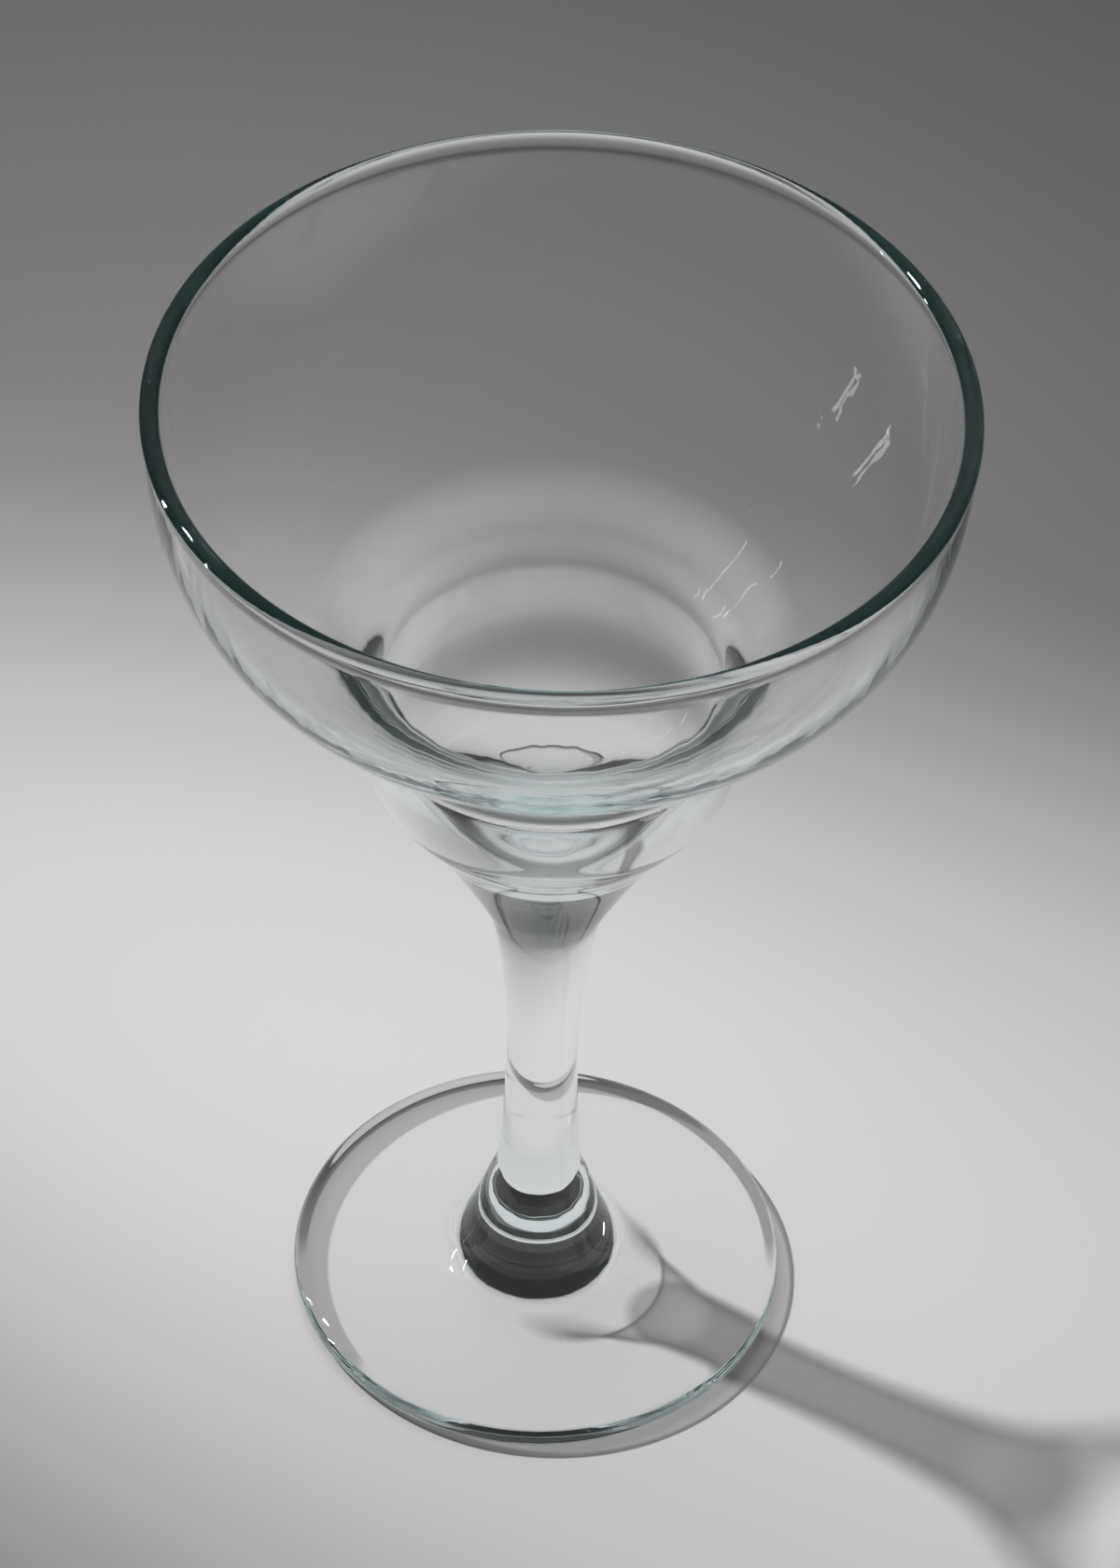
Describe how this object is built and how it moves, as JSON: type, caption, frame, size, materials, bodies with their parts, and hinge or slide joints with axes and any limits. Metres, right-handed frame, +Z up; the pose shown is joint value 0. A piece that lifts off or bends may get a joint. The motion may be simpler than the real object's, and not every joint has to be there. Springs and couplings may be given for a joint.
{
  "type": "margarita glass",
  "caption": "Stemmed cocktail glass: a wide coupe over a small round-bottomed cup, on a solid waisted stem and a round foot, all in clear glass.",
  "frame": {"origin": "centre of the standing plane, on the glass's axis", "axes": "+Z up along the axis, from the foot to the rim; the part is the same all round, so +X and +Y are free"},
  "size_m": [0.11, 0.11, 0.172],
  "materials": {
    "clear_glass": "clear soda-lime glass, fire-polished, faint green in thick edges"
  },
  "bodies": {
    "root": {"foot": "clear_glass", "stem": "clear_glass", "bowl": "clear_glass"}
  },
  "joints": []
}
